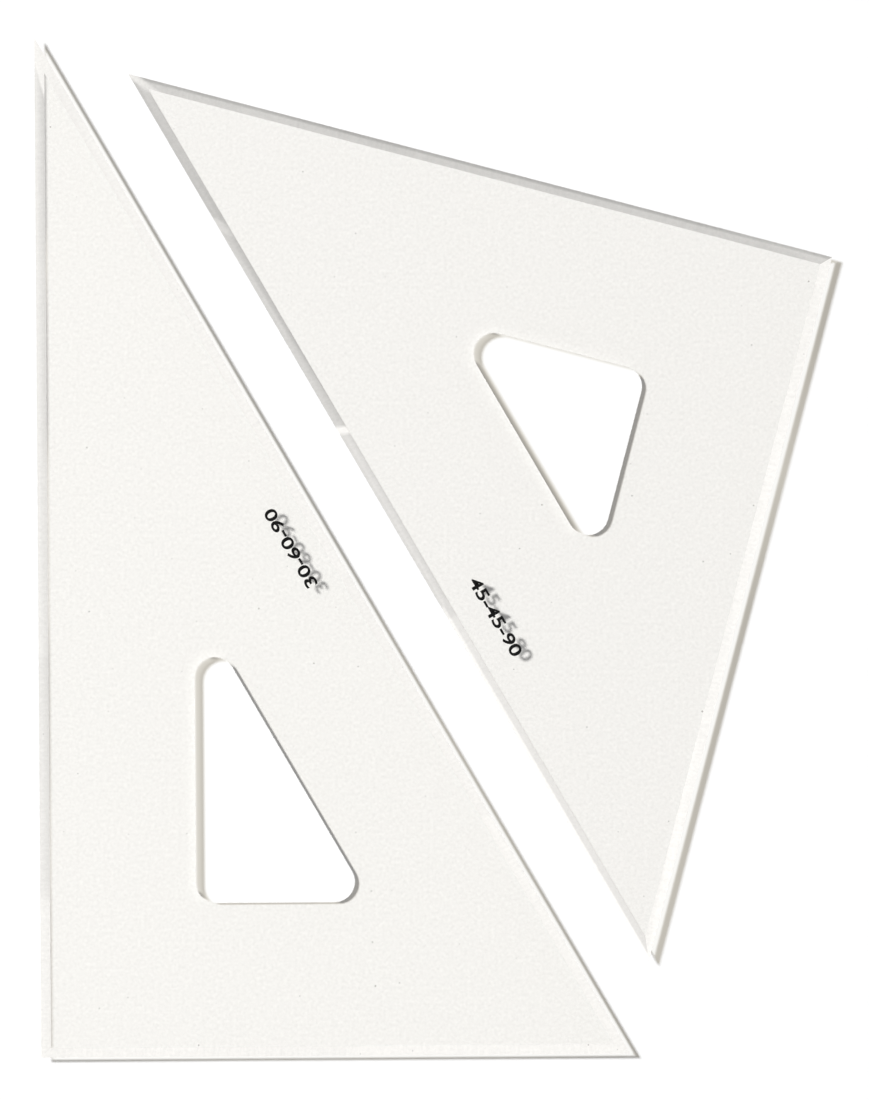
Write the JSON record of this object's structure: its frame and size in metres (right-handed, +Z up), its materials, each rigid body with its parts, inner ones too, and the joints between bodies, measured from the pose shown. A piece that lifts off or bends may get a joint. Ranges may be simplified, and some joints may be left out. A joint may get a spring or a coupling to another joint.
{
  "type": "set square pair",
  "caption": "Clear drawing set squares, a 30/60 and a 45, with undercut inking edges and triangular finger cut-outs.",
  "frame": {"origin": "on the surface that both squares lie on, under the middle of the rectangle that encloses the pair", "axes": "+Z up out of the upper faces, +Y along the 30/60's longer leg towards its sharpest corner (within 0.4 degrees), +X from the 30/60 towards the 45's right angle"},
  "size_m": [0.2346, 0.3, 0.003],
  "materials": {
    "clear_acrylic": "clear cast acrylic sheet, polished faces and polished undercut, faint warm tint"
  },
  "bodies": {
    "set_square_30_60": {"set_square_30_60": "clear_acrylic"},
    "set_square_45": {"set_square_45": "clear_acrylic"}
  },
  "joints": [
    {"name": "parallel_slide", "type": "slide", "parent": "set_square_30_60", "child": "set_square_45", "axis": [0.506, -0.8625, 0], "range_m": [-0.15, 0.15]}
  ]
}
